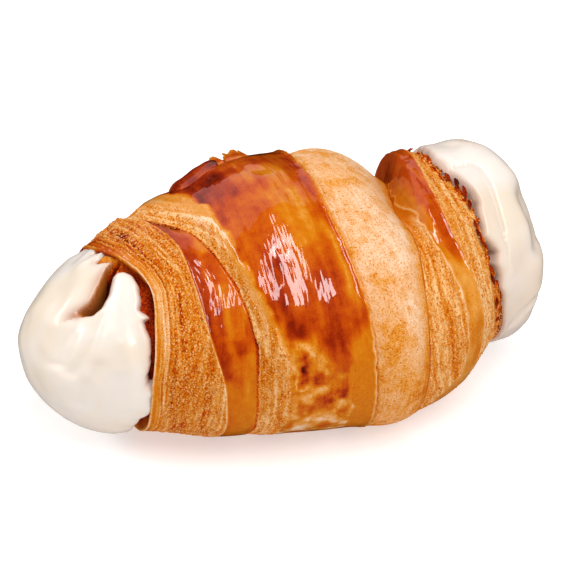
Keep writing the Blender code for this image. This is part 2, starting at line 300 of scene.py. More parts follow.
def grid_piece(name, points, values):
    """Closed mesh through rings of points, with a fan over each end, carrying named values at its points.
    The values named across become the vector lane, which runs with the layers of dough."""
    columns, rows = points.shape[:2]
    ends = [points[0].mean(axis=0), points[-1].mean(axis=0)]
    places = (np.concatenate([points.reshape(-1, 3), ends]) + SHIFT) * MM
    c, r = np.meshgrid(np.arange(columns - 1), np.arange(rows), indexing="ij")
    first, second = c * rows + r, c * rows + (r + 1) % rows
    quads = np.stack([first, second, second + rows, first + rows], -1).reshape(-1, 4)
    k = np.arange(rows)
    after, last = (k + 1) % rows, (columns - 1) * rows
    fans = np.concatenate([
        np.stack([after, k, np.full(rows, columns * rows)], -1),
        np.stack([last + k, last + after, np.full(rows, columns * rows + 1)], -1),
    ])
    mesh = bpy.data.meshes.new(name)
    mesh.vertices.add(len(places))
    mesh.vertices.foreach_set("co", places.astype(np.float32).ravel())
    mesh.loops.add(quads.size + fans.size)
    mesh.loops.foreach_set("vertex_index", np.concatenate([quads.ravel(), fans.ravel()]).astype(np.int32))
    mesh.polygons.add(len(quads) + len(fans))
    starts = np.concatenate([np.arange(len(quads)) * 4, quads.size + np.arange(len(fans)) * 3])
    mesh.polygons.foreach_set("loop_start", starts.astype(np.int32))
    mesh.update(calc_edges=True)
    mesh.validate()
    for key, grid in values.items():
        middles = [grid[0].mean(), grid[-1].mean()]
        flat = np.concatenate([np.broadcast_to(grid, (columns, rows)).ravel(), middles])
        if key == "across":
            turn = 2 * math.pi * np.tile(k / rows, columns)
            lane = np.stack([flat[:-2], MEAN_RADIUS * np.cos(turn), MEAN_RADIUS * np.sin(turn)], -1)
            set_attribute(mesh, "lane", np.concatenate([lane, lane[:2]]), vector=True)
        else:
            set_attribute(mesh, key, flat)
    mesh.shade_smooth()
    return in_scene(name, mesh)


def on_floor(points, buried):
    """Presses the underside flat on the floor; buried skin stays just above, inside its neighbour."""
    level = 0.35 * buried
    above = points[..., 2] - level - FLOOR_SOFTNESS
    pressed = level + FLOOR_SOFTNESS * np.exp(np.minimum(above, 0) / FLOOR_SOFTNESS)
    points[..., 2] = np.where(above < 0, pressed, points[..., 2])
    return points


def ring_angles(rows):
    return np.linspace(0, 360, rows, endpoint=False)[None, :]


def coil(name, left, right, columns, skin, left_end, right_end):
    """One coil of dough as a closed barrel from lip to lip. skin gives its height and finish at each place
    and angle; left_end and right_end are steps of (inwards along the roll, down, painted shade on the step)."""
    angle = ring_angles(COIL_ROWS)
    share = relief(angle)
    x0, x1 = left(angle), right(angle)
    x = x0 + (x1 - x0) * np.linspace(0, 1, columns)[:, None]
    height, finish = skin(x, angle + 0 * x)
    finish = {key: grid if key == "across" else unit(grid) for key, grid in finish.items()}
    rings, bands = [roll_surface(x, angle + 0 * x, height * share)], [finish]
    for steps, side, sign in ((left_end, 0, 1), (right_end, -1, -1)):
        edge = {key: grid[side][None] for key, grid in finish.items()}
        for inwards, down, dark in steps:
            level = height[side] * share[0] - down * (0.35 + 0.65 * share[0])
            at = 0 if side == 0 else len(rings)
            rings.insert(at, roll_surface(x[side] + sign * inwards, angle[0], level)[None])
            # Each step runs down into a gap between coils: its finish is painted darker there as shade, and
            # loses its glaze
            painted_shade_finish = {"bake_and_painted_light": unit(edge["bake_and_painted_light"] + dark), "glaze": edge["glaze"] * (dark <= 0)}
            bands.insert(at, {**edge, **painted_shade_finish})
    buried = np.concatenate([np.full(ring.shape[:2], float(len(ring) == 1)) for ring in rings])
    points = on_floor(np.concatenate(rings), buried)
    finish = {key: np.concatenate([band[key] for band in bands]) for key in finish}
    finish["cut"] *= ease(0.5, 1.5, points[..., 2])
    return grid_piece(name, points, finish)


def front_side(turned):
    """1 on the side of the roll that the cut layers face, 0 behind and under it."""
    return ease(5, 45, turned) * (1 - ease(130, 165, turned))


def left_skin(x, angle):
    """Left coil: thick cut layers behind its rim, a granular cut face, then glazed skin past its crest."""
    turned = signed(angle)
    rim, crest, end = (lip(v, angle) for v in (LIP_LEFT_RIM, LIP_LEFT_CREST, LIP_CENTRE_LEFT))
    form = roll_surface(x, angle)
    front = front_side(turned)
    arch = 1 - ease(-10, 22, turned)
    from_rim, past_crest, to_end = x - rim, x - crest + 2.0 * arch, end - x
    layer = from_rim + 0.30 * streaks(from_rim, angle, 5, 12, 1) + 0.15 * noise(form, 2.5, 2)
    edges, grooves = np.zeros_like(x), np.zeros_like(x)
    # Cut edges of the sheets of dough behind the rim, and the gaps between them
    for place, strength in ((0.1, 1.0), (1.3, 0.45), (2.0, 0.8), (3.0, 0.6), (4.2, 0.5)):
        broken = 0.65 + 0.7 * streaks(from_rim, angle, 1.2, 9, int(place * 10))
        edges += strength * bump(place, 0.17, layer) * broken
    for place, strength in ((2.25, 0.8), (3.3, 0.55), (4.4, 0.7), (5.8, 0.4)):
        broken = 0.6 + 0.8 * streaks(from_rim, angle, 1.5, 14, int(place * 7))
        grooves += strength * bump(place, 0.22, layer) * broken
    lines = thin_lines(from_rim, angle, 1.5, 30, 0.25, 3)
    fold_lines = thin_lines(from_rim + 0.03 * turned, angle, 0.9, 80, 0.5, 14)
    cut = 1 - ease(-0.3, 0.1, past_crest + 0.2 * noise(form, 2.5, 5))
    grain = fractal(form, 1.0, 3, 6)
    t = unit(past_crest / np.maximum(end - crest, 1))
    height = 0.8 + 0.7 * ease(0, 1, from_rim / np.maximum(crest - rim, 1))
    height -= (1.0 + 1.6 * (1 - ease(-50, -25, turned))) * t ** 1.8 + 0.35 * ease(0.6, 0.0, to_end)
    height -= 1.7 * (1 - ease(1, 5, end - crest)) * ease(3.0, 0, to_end)
    height += cut * (0.36 * edges - 0.60 * grooves + 0.30 * lines + 0.22 * grain - 0.40 * arch * fold_lines)
    height += 0.35 * bump(-0.1, 0.25, past_crest) + (1 - cut) * 0.35 * fractal(form, 9.0, 2, 7)
    height += (1 - cut) * 0.05 * streaks(x, angle, 1.5, 5, 8)
    blotch = fractal(form, 5.0, 3, 9)
    # Glazed skin past the crest, then the face of cut layers
    skin_tone = 0.75 - 0.25 * ease(1.2, 4.6, past_crest + 1.3 * blotch)
    skin_tone += 0.22 * ease(0.15, 0.6, noise(form, 4.5, 11)) * ease(3, 5, past_crest)
    skin_tone += (0.80 - skin_tone) * (1 - ease(-12, 22, turned)) * 0.85
    skin_tone += (0.42 - skin_tone) * ease(82, 92, turned + 5 * noise(form, 5.0, 15)) * 0.8
    skin_tone += 0.08 * streaks(x, angle, 1.4, 9, 10)
    face_tone = 0.40 + 0.16 * streaks(from_rim, angle, 1.1, 26, 12) + 0.06 * grain
    face_tone += 0.10 * noise(form, 5.0, 13)
    face_tone += 0.16 * bump(6.2, 1.0, layer) * front
    face_tone += (0.44 - face_tone) * (1 - ease(3.2, 4.6, layer)) * 0.8
    # Painted shade and highlight: the gaps between the sheets are painted darker as their shade, and the sheet
    # edges paler as the light they catch
    face_tone += 0.46 * grooves - 0.40 * edges - 0.30 * lines
    face_tone += arch * (0.42 * fold_lines - 0.02) + 0.14 * (1 - ease(-60, -25, turned))
    # A pale line just inside the rim, on the front, is a painted highlight along the sheet's edge
    face_tone -= 0.25 * bump(0.15, 0.22, from_rim) * front
    tone = cut * face_tone + (1 - cut) * skin_tone - 0.40 * bump(-0.1, 0.24, past_crest)
    # Painted shade: darker where the coil runs into the crack under the centre coil
    tone += 0.22 * ease(0.5, 0.0, to_end)
    glaze = (1 - cut) * ease(0.2, 0.7, to_end) + 0.6 * cut * bump(0.8, 1.2, layer) + 0.45 * cut * arch
    return height, {"bake_and_painted_light": tone, "glaze": glaze, "cut": cut * ease(0, 5, from_rim), "across": from_rim}


def centre_skin(x, angle):
    """Centre coil: pale cut shoulder, dark glazed crown, thin flaky step, then a pale matte band."""
    turned = signed(angle)
    start, crest, fold, end = (
        lip(v, angle) for v in (LIP_CENTRE_LEFT, LIP_CENTRE_CREST, LIP_CENTRE_FOLD, LIP_RIGHT_START)
    )
    form = roll_surface(x, angle)
    rag = 0.30 * noise(form, 1.7, 21) + 0.22 * noise(form, 0.8, 22)
    from_start, past_crest, past_fold = x - start, x - crest, x - fold - rag
    to_end = end - x
    front = front_side(turned)
    shoulder = 1 - ease(-0.7, 0.5, past_crest + 0.9 * noise(form, 3.0, 23))
    pale = ease(-0.08, 0.2, past_fold)
    grain = fractal(form, 1.0, 3, 24)
    fine = streaks(from_start, angle, 0.6, 15, 25)
    lines = thin_lines(from_start, angle, 1.4, 26, 0.28, 26)
    share = unit(from_start / np.maximum(crest - start, 1))
    t = ease(0, 1, share)
    smooth_ridge = bump(0.82, 0.26, share) * (1 - ease(58, 74, turned))
    height = 0.25 - 0.25 * front + (2.35 + 0.25 * front) * t
    rough = shoulder * (1 - 0.85 * smooth_ridge)
    height += rough * (0.22 * lines + 0.10 * fine + 0.16 * grain) + 0.22 * bump(0.6, 2.4, past_crest)
    crown = (1 - shoulder) * (1 - pale)
    height += crown * (0.50 * fractal(form, 10.0, 2, 27) + 0.10 * streaks(x, angle, 1.5, 6, 28))
    height += 0.35 * bump(-0.4, 0.5, past_fold) - 0.25 * bump(0.5, 0.4, past_fold) - 0.9 * pale
    second = past_fold - 1.4 + 0.5 * noise(form, 2.2, 29)
    height -= 0.3 * ease(-0.1, 0.15, second)
    span = unit(1 - to_end / np.maximum(end - fold, 1))
    drop = 8.2 - 5.9 * front
    height += pale * (1.3 * np.sin(math.pi * unit(span * 1.1)) - drop * span ** 4)
    height += pale * (0.10 * grain + 0.3 * noise(form, 12.0, 30) + 0.10 * streaks(x, angle, 1.1, 6, 64))
    pit = np.hypot(x + 13.6, (turned - 86) * 0.27) + 1.1 * noise(form, 2.2, 39) + 0.6 * noise(form, 1.0, 57)
    height += crown * (0.20 * bump(2.3, 0.6, pit) - 0.5 * bump(0, 1.2, pit))

    # Dark glazed crown: baked darkest in a few places, amber and blistered low down, with one burst blister
    run = streaks(x - 0.04 * turned, angle, 1.1, 8, 31)
    mottle = fractal(form, 5.5, 3, 32)
    dark = 0.62 + 0.08 * run + 0.12 * mottle
    dark += 0.15 * bump(-16.5, 3.6, x) * between(32, 72, 10, turned)
    dark += 0.15 * bump(-5.0, 2.8, x) * between(52, 84, 8, turned)
    dark += 0.22 * (1 - ease(-22, -14, x)) * (1 - ease(-5, 12, turned))
    dark -= 0.14 * bump(-8, 5, x) * between(-12, 34, 12, turned)
    dark += 0.10 * bump(-1, 2.5, past_fold + 1.5) * between(-30, 20, 12, turned)
    low = ease(80, 92, turned + 9 * noise(form, 5.0, 33) + 1.6 * np.clip(-6 - x, -6, 12))
    patch = 0.45 + 0.30 * fractal(form, 3.2, 3, 34) + 0.08 * run
    patch -= 0.26 * ease(0.1, 0.5, noise(form, 3.5, 40)) * ease(105, 118, turned)
    dark += (patch - dark) * low
    amber = ease(-6.2, -5.4, past_fold + noise(form, 4.0, 35)) * ease(60, 70, turned + 2.0 * past_fold)
    streak = bump(-2.4, 1.0, past_fold + 0.6 * noise(form, 3.0, 36)) * between(24, 58, 6, turned)
    drip = bump(-11.0, 0.9, x + 0.4 * noise(form, 2.0, 50)) * between(70, 82, 3, turned)
    dark += (0.44 - dark) * unit(amber)
    dark += (0.37 - dark) * unit(streak + 0.9 * drip)
    pit_rim = bump(2.3, 0.5, pit) * ease(-0.3, 0.3, noise(form, 3.0, 58))
    dark += crown * (0.50 * bump(0, 1.1, pit) - 0.24 * pit_rim)
    # Pale band past the fold
    edge = bump(-0.25, 0.30, past_fold)
    band = 0.12 + 0.07 * fractal(form, 7.0, 3, 37) + 0.04 * grain + 0.13 * ease(62, 110, turned)
    band += 0.10 * ease(0.1, 0.6, fractal(form, 3.0, 3, 65))
    # A paler patch across the middle of the band is a painted sheen
    band -= 0.07 * bump(12, 7, x) * between(20, 60, 14, turned)
    # The first term darkens the band where it runs down into the crease by the right coil: painted shade
    band += 0.16 * ease(0.82, 1.0, span) + 0.16 * bump(0.5, 0.45, past_fold)
    band += 0.14 * bump(0, 0.16, second) - 0.10 * bump(-0.25, 0.2, second)
    long_lines = streaks(from_start, angle, 0.9, 30, 59)
    cut_tone = 0.26 - 0.24 * lines + 0.14 * fine + 0.16 * long_lines + 0.06 * grain
    cut_tone += 0.06 * noise(form, 4.0, 38)
    cut_tone += 0.06 * ease(60, 80, turned) + 0.05 * (1 - ease(-20, 10, turned))
    cut_tone += (0.34 - cut_tone) * 0.85 * smooth_ridge
    # A dark line painted as shade in the crack along the coil's left edge, with a paler line just inside it
    cut_tone += 0.28 * bump(0, 0.2, from_start) - 0.16 * bump(0.5, 0.25, from_start)
    tone = shoulder * cut_tone + crown * (dark - 0.28 * edge) + pale * band
    glaze = crown * (1 - 0.3 * low) + 0.95 * shoulder * smooth_ridge
    cut = shoulder * (1 - smooth_ridge) + 0.35 * pale * ease(80, 110, turned)
    return height, {"bake_and_painted_light": tone, "glaze": glaze, "cut": cut, "across": x}


def right_skin(x, angle):
    """Right coil: a cut face, a narrow glazed strip, then cut layers out to a ragged burnt rim."""
    turned = signed(angle)
    start, crest, rim = (lip(v, angle) for v in (LIP_RIGHT_START, LIP_RIGHT_CREST, LIP_RIGHT_RIM))
    form = roll_surface(x, angle)
    from_start, past_crest, to_rim = x - start, x - crest, rim - x
    front = front_side(turned)
    width = 5.3 + 2.4 * bump(-5, 28, turned) + 5.0 * ease(98, 128, turned)
    from_strip = past_crest + width + 0.6 * noise(form, 3.0, 41)
    strip = ease(-0.25, 0.2, from_strip) * (1 - ease(-0.25, 0.2, past_crest + 0.3 * noise(form, 2.0, 42)))
    amber = (1 - ease(14, 34, turned)) * (1 - ease(-0.3, 0.2, from_strip))
    grain = fractal(form, 1.0, 3, 43)
    fine = streaks(from_start - 0.08 * turned, angle, 0.6, 12, 44)
    lines = thin_lines(from_start - 0.06 * turned, angle, 1.4, 22, 0.28, 45)
    outer = ease(-0.2, 0.3, past_crest)
    reach = np.maximum(crest - 2.5 - start, 1)
    t = ease(0, 1, from_start / reach)
    sunk = 8.2 - 6.2 * front
    height = -sunk + (sunk + 1.3) * t
    height -= 1.6 * ease(0, 1, past_crest / np.maximum(rim - crest, 1))
    height += 0.30 * bump(-0.2, 0.4, past_crest) - 0.35 * outer
    rough = 1 - unit(strip + amber)
    height += rough * (0.22 * lines + 0.12 * fine + 0.18 * grain)
    height += 0.22 * strip * fractal(form, 4.0, 2, 46) + 0.30 * bump(0.0, 0.4, from_strip)
    lit_side = 1 - ease(0.20, 0.42, from_strip / width + 0.10 * noise(form, 3.0, 53))
    strip_tone = 0.66 - 0.22 * lit_side * ease(-12, 6, turned) + 0.10 * streaks(x, angle, 1.2, 9, 47)
    low_tone = 0.37 + 0.08 * streaks(x, angle, 1.6, 12, 54) + 0.06 * noise(form, 4.0, 55)
    low_tone -= 0.10 * bump(0.4, 0.5, from_strip)
    strip_tone += (low_tone - strip_tone) * ease(40, 54, turned + 6 * noise(form, 4.0, 56))
    long_lines = streaks(from_start - 0.08 * turned, angle, 1.0, 30, 60)
    face = 0.33 - 0.07 * outer + 0.14 * fine + 0.18 * long_lines - 0.24 * lines
    face += 0.05 * grain + 0.06 * noise(form, 6.0, 48)
    amber_tone = 0.50 + 0.12 * streaks(x, angle, 1.5, 10, 51)
    tone = strip * strip_tone + (1 - strip) * (amber * amber_tone + (1 - amber) * face)
    tone -= 0.22 * bump(0.05, 0.2, from_strip) + 0.28 * bump(0.05, 0.2, past_crest)
    burnt = 1 - ease(0.1, 1.5, to_rim + 1.1 * noise(form, 1.6, 49))
    # The dark line at the coil's foot on the front, in the crease by the centre coil, is painted shade; the
    # burnt rim is the dough's own colour
    tone += 0.55 * burnt + 0.35 * front * (1 - ease(0, 0.6, from_start))
    glaze = unit(strip + amber) * (1 - burnt) * (1 - 0.45 * ease(58, 76, turned))
    return height, {"bake_and_painted_light": tone, "glaze": glaze, "cut": rough, "across": from_start - 0.08 * turned}


def ragged_rim(angle):
    """Torn edge of the right coil."""
    turn = np.radians(angle)
    circle = np.stack([np.cos(turn) * 30, np.sin(turn) * 30, 0 * turn], -1)
    tear = 1.1 * noise(circle, 4.0, 61) + 0.8 * noise(circle, 1.6, 62) + 0.4 * noise(circle, 0.7, 63)
    return lip(LIP_RIGHT_RIM, angle) + 0.3 + tear


def dome_places(side, proud, inner, columns):
    """Places along the roll from the tip of an end back to inner, close together near the tip."""
    edge, length, _ = DOMES[side]
    tip = edge + side * (length + proud)
    share = 1 - np.cos(math.pi / 2 * np.arange(1, columns + 1) / columns)
    return tip + (inner - tip) * share[:, None]


def slit_depth(x, angle, reach=2.6):
    """How far the slit stands open at each place, and its share of the full width there."""
    away, along, _ = path_distance(SLIT, x, angle)
    width = 0.45 + 0.55 * np.sin(math.pi * unit(along * 0.9 + 0.05))
    return unit(1 - away / (reach * width)), width


def end_roll(name, side, columns, rows):
    """Inner roll of one end under its chocolate. On the left the slit between its turns stands open."""
    angle = ring_angles(rows)
    inner = lip(LIP_RIGHT_CREST, angle) + 0.5 if side > 0 else np.full_like(angle, INNER_LEFT_END)
    x = dome_places(side, -BASE[side], inner, columns)
    angle = angle + 0 * x
    form = roll_surface(x, angle)
    grain = fractal(form, 1.3, 3, 71)
    lines = streaks(x, angle, 0.7, 12, 72)
    height = 0.18 * lines + 0.10 * grain + 0.25 * noise(form, 6.0, 73) - BASE[side]
    # The inner roll's dark brown is partly its baked colour and partly painted shade of the recess it lies in
    tone = 0.78 + 0.10 * lines + 0.08 * grain
    if side < 0:
        # The skin between the coat's fingers and the rim stands up, golden
        openness, width = slit_depth(x, angle)
        bare = ease(1.5, -0.5, outline_distance(COAT_LEFT, x, angle, -90.0))
        bare = bare * between(-48, 14, 6, signed(angle))
        height += 2.4 * bare - 6.0 * width * ease(0.15, 0.8, openness)
        # Painted shade: the dough darkens deeper in the open slit
        tone += 0.04 + 0.30 * ease(0.45, 0.9, openness)
        tone += (0.42 + 0.22 * lines + 0.10 * grain - tone) * bare * (1 - ease(0.2, 0.6, openness))
    points = on_floor(roll_surface(x, angle, height), np.ones_like(x))
    x, tone = x[::-side], unit(tone[::-side])
    finish = {"bake_and_painted_light": tone, "glaze": 0 * tone, "cut": 0.35 + 0 * tone, "across": x}
    return grid_piece(name, points[::-side], finish)


def chocolate(name, side, outline, columns):
    """Set white chocolate over one end: a shell with a soft rounded edge along its outline."""
    angle = ring_angles(COAT_ROWS)
    rim = lip(LIP_LEFT_RIM if side < 0 else LIP_RIGHT_RIM, angle)
    base = BASE[side]
    proud = 0.0 if side < 0 else 0.9
    outer = dome_places(side, proud, rim - side * 5.0, columns)
    around = angle + 0 * outer
    form = roll_surface(outer, around)
    inside = outline_distance(outline, outer, around, side * 90.0)
    inside += 0.18 * noise(form, 1.6, 81)
    soft = 1.7 if side > 0 else 1.0 + 0.7 * ease(4, 14, signed(around))
    rounded = np.sqrt(unit(1 - (1 - unit(inside / soft)) ** 2))
    lumps = 0.8 * noise(form, 17.0, 82) + 0.5 * noise(form, 8.0, 83) + 0.13 * noise(form, 3.5, 84)
    for path, high, wide in LEFT_FOLDS if side < 0 else RIGHT_FOLDS:
        lumps += high * bump(0, wide, path_distance(path, outer, around)[0])
    # Outside its outline the shell dives under the dough
    dive = base + 0.6
    height = (proud + lumps * ease(0, 6, inside) + dive) * rounded - dive
    height = np.where(inside < 0, 1.6 * np.clip(inside, -1.2, 0) - dive, height)
    thin = 0.4 * (1 - ease(0.0, 2.6, inside))
    away, along, which = path_distance(SLIT if side < 0 else RIGHT_LAYER, outer, around)
    if side > 0:
        step = np.where(which < 0, ease(-0.3, 0.9, away), 0.0) * bump(0, 7.0, away)
        height += (0.9 * step - 0.15 * bump(0, 0.8, away)) * ease(0.5, 2.5, inside)
        thin += 0.12 * (1 - step)
    else:
        veil = 1.1 * bump(0, np.where(which < 0, 2.8, 1.2), away) * ease(1.0, 0.8, along)
        wall = 1.4 * bump(0, 5.0, away) * ease(1.5, 0.6, inside) * (which < 0)
        thin = np.clip(np.maximum(np.maximum(thin, veil), wall), 0, 1.33)
    inner = dome_places(side, -base, rim - side * 5.0, 60)
    depth = 0 * inner - base - 2.6
    if side < 0:
        openness, width = slit_depth(outer, around)
        height -= 9.5 * width * ease(0.1, 0.7, openness) * ease(0.5, 0.0, inside)
        openness, width = slit_depth(inner, angle + 0 * inner, 4.5)
        depth -= 12.0 * width * ease(0.0, 0.45, openness)
    under = roll_surface(inner, angle + 0 * inner, depth)
    # Places on the dome stretch with the height, so that a ridge there doesn't fold over
    edge, length, _ = DOMES[side]
    stretch = (length + height) / (length + proud)
    outer = edge + (outer - edge) * np.where(side * (outer - edge) > 0, stretch, 1)
    outside = on_floor(roll_surface(outer, around, height), np.zeros_like(outer))
    points = np.concatenate([outside, under[::-1]])
    fade = np.concatenate([thin, np.ones_like(inner)])
    return grid_piece(name, points[::-side], {"thin": fade[::-side]})


def linear(code):
    """Linear colour of an sRGB hex code."""
    parts = [int(code[k:k + 2], 16) / 255 for k in (0, 2, 4)]
    return tuple(v / 12.92 if v <= 0.04045 else ((v + 0.055) / 1.055) ** 2.4 for v in parts) + (1.0,)


def add(tree, kind, settings=None, **links):
    """Adds a node. A link's value is a socket or a constant. Its name is the socket's with _ for a space,
    or i and the socket's number."""
    node = tree.nodes.new(kind)
    for key, value in (settings or {}).items():
        setattr(node, key, value)
    for key, value in links.items():
        numbered = key[0] == "i" and key[1:].isdigit()
        socket = node.inputs[int(key[1:]) if numbered else key.replace("_", " ")]
        if isinstance(value, bpy.types.NodeSocket):
            tree.links.new(value, socket)
        else:
            socket.default_value = value
    return node


def new_material(name):
    material = bpy.data.materials.new(name)
    material.use_nodes = True
    tree = material.node_tree
    tree.nodes.clear()
    return material, tree


# Crust of laminated yeast dough, baked. Its colour follows how far each place was baked, from pale crumb
# through gold and amber to burnt, with painted shade in its gaps and creases and a few painted highlights set
# on the same scale; the skin carries egg wash and syrup as a clear coat.
BAKE_COLOURS = (
    (0.00, "e6c5a5"), (0.12, "dba97b"), (0.28, "d4903c"), (0.42, "c6730a"), (0.56, "bd5704"),
    (0.70, "ab3b03"), (0.84, "861e02"), (1.00, "3c0e03"),
)


def crust_material():
    material, tree = new_material("pastry_crust")

    def math_node(operation, *values):
        links = {"i%d" % k: value for k, value in enumerate(values)}
        return add(tree, "ShaderNodeMath", {"operation": operation}, **links).outputs[0]

    def pattern(vector, scale, detail):
        found = add(tree, "ShaderNodeTexNoise", Vector=vector, Scale=scale, Detail=detail, Roughness=0.6)
        return math_node("SUBTRACT", found.outputs["Fac"], 0.5)

    place = add(tree, "ShaderNodeTexCoord").outputs["Object"]
    bake_and_painted_light, glaze, cut = (
        add(tree, "ShaderNodeAttribute", {"attribute_name": key}).outputs["Fac"]
        for key in ("bake_and_painted_light", "glaze", "cut"))
    lane = add(tree, "ShaderNodeAttribute", {"attribute_name": "lane"}).outputs["Vector"]
    # Fibres 0.5 mm wide and 5 mm long, grains of crumb 0.4 mm wide, and patches of browning 2 mm wide
    stretched = add(tree, "ShaderNodeMapping", Vector=lane, Scale=(1.9, 0.20, 0.20)).outputs["Vector"]
    fibre = pattern(stretched, 1.0, 3.0)
    speck = pattern(place, 2300.0, 2.0)
    mottle = pattern(place, 520.0, 4.0)
    matte = math_node("SUBTRACT", 1.0, glaze)
    share = math_node("MULTIPLY_ADD", cut, 0.20, math_node("MULTIPLY_ADD", matte, 0.26, 0.12))
    tone = math_node("MULTIPLY_ADD", speck, share, bake_and_painted_light)
    toasted = math_node("MAXIMUM", math_node("SUBTRACT", speck, 0.06), 0.0)
    tone = math_node("MULTIPLY_ADD", toasted, math_node("MULTIPLY_ADD", matte, 1.6, 0.3), tone)
    # Pale specks on the cut faces: partly pale crumb, partly painted glints
    crumb_and_glint_specks = math_node("MINIMUM", math_node("ADD", speck, 0.09), 0.0)
    tone = math_node("MULTIPLY_ADD", crumb_and_glint_specks, math_node("MULTIPLY", cut, 1.5), tone)
    tone = math_node("MULTIPLY_ADD", mottle, math_node("MULTIPLY_ADD", glaze, 0.14, 0.08), tone)
    tone = math_node("MULTIPLY_ADD", fibre, math_node("MULTIPLY_ADD", cut, 0.62, 0.16), tone)
    ramp = add(tree, "ShaderNodeValToRGB", Fac=tone)
    stops = ramp.color_ramp.elements
    while len(stops) < len(BAKE_COLOURS):
        stops.new(0.5)
    for stop, (position, code) in zip(stops, BAKE_COLOURS):
        stop.position = position
        stop.color = linear(code)
    # Crumb of the cut layers is more golden than the skin, which browns towards red
    golden = add(
        tree, "ShaderNodeMix", {"data_type": "RGBA", "blend_type": "MULTIPLY"},
        Factor=cut, i6=ramp.outputs["Color"], i7=linear("fff1c8"))
    rough = math_node("MULTIPLY_ADD", glaze, -0.20, 0.62)
    relief_height = math_node("MULTIPLY_ADD", fibre, 0.5, speck)
    relief_share = math_node("MULTIPLY_ADD", matte, 0.5, math_node("MULTIPLY_ADD", cut, 0.35, 0.05))
    grain = add(
        tree, "ShaderNodeBump", Strength=relief_share, Distance=0.0004, Height=relief_height).outputs["Normal"]
    # The syrup set in ripples 1.3 mm wide and 6 mm long
    drawn_out = add(tree, "ShaderNodeMapping", Vector=lane, Scale=(0.75, 0.16, 0.16)).outputs["Vector"]
    ribs = pattern(drawn_out, 1.0, 1.0)
    ripple = math_node("MULTIPLY_ADD", fibre, 0.05, ribs)
    wet = add(tree, "ShaderNodeBump", Strength=0.34, Distance=0.0005, Height=ripple).outputs["Normal"]
    shader = add(
        tree, "ShaderNodeBsdfPrincipled",
        Base_Color=golden.outputs[2], Roughness=rough, Metallic=0.0, IOR=1.4, Specular_IOR_Level=0.05,
        Normal=grain, Coat_Weight=glaze, Coat_Roughness=0.025, Coat_IOR=1.5, Coat_Normal=wet,
        Subsurface_Weight=0.06, Subsurface_Radius=(1.0, 0.4, 0.15), Subsurface_Scale=0.0012,
    )
    add(tree, "ShaderNodeOutputMaterial", Surface=shader.outputs["BSDF"])
    return material


# White chocolate: cocoa butter, milk powder and sugar, set with a soft satin surface that light enters.
def chocolate_material():
    material, tree = new_material("white_chocolate")
    place = add(tree, "ShaderNodeTexCoord").outputs["Object"]
    thin = add(tree, "ShaderNodeAttribute", {"attribute_name": "thin"}).outputs["Fac"]
    # Billows of more and less yellow chocolate, about 20 mm wide
    cloud = add(tree, "ShaderNodeTexNoise", Vector=place, Scale=45.0, Detail=2.0).outputs["Fac"]
    billow = add(tree, "ShaderNodeMapRange", Value=cloud, From_Min=0.36, From_Max=0.56).outputs["Result"]
    body = add(
        tree, "ShaderNodeMix", {"data_type": "RGBA"},
        Factor=billow, i6=linear("dfd2c0"), i7=linear("e4dcd3"),
    ).outputs[2]
    # The brown of the dough shows through where the coat is thin
    tint = add(tree, "ShaderNodeMath", {"operation": "MULTIPLY"}, i0=thin, i1=0.75).outputs[0]
    colour = add(tree, "ShaderNodeMix", {"data_type": "RGBA"}, Factor=tint, i6=body, i7=linear("a9601f"))
    soft = add(tree, "ShaderNodeBump", Strength=0.2, Distance=0.0006, Height=cloud).outputs["Normal"]
    shader = add(
        tree, "ShaderNodeBsdfPrincipled",
        Base_Color=colour.outputs[2], Roughness=0.24, Metallic=0.0, IOR=1.46, Normal=soft,
        Subsurface_Weight=0.45, Subsurface_Radius=(1.0, 0.75, 0.5), Subsurface_Scale=0.004,
    )
    add(tree, "ShaderNodeOutputMaterial", Surface=shader.outputs["BSDF"])
    return material


def sheet_piece(name, middle, thickness, values):
    """Closed thin sheet of dough about a grid of points."""
    across, along = np.gradient(middle, axis=0), np.gradient(middle, axis=1)
    normal = np.cross(across, along)
    normal /= np.linalg.norm(normal, axis=-1, keepdims=True)
    offset = normal * thickness[..., None] / 2
    n, m = middle.shape[:2]
    both_sides = np.concatenate([(middle + offset).reshape(-1, 3), (middle - offset).reshape(-1, 3)])
    places = (both_sides + SHIFT) * MM
    number = np.arange(n * m).reshape(n, m)
    quad = np.stack([number[:-1, :-1], number[1:, :-1], number[1:, 1:], number[:-1, 1:]], -1).reshape(-1, 4)
    border = np.concatenate([number[0, :-1], number[:-1, -1], number[-1, :0:-1], number[:0:-1, 0]])
    after = np.roll(border, -1)
    edge = np.stack([border, after, after + n * m, border + n * m], -1)
    faces = np.concatenate([quad, quad[:, ::-1] + n * m, edge])
    mesh = bpy.data.meshes.new(name)
    mesh.from_pydata(places.tolist(), [], faces.tolist())
    for key, grid in values.items():
        set_attribute(mesh, key, np.tile(unit(np.broadcast_to(grid, (n, m))).ravel(), 2))
    mesh.shade_smooth()
    return in_scene(name, mesh)


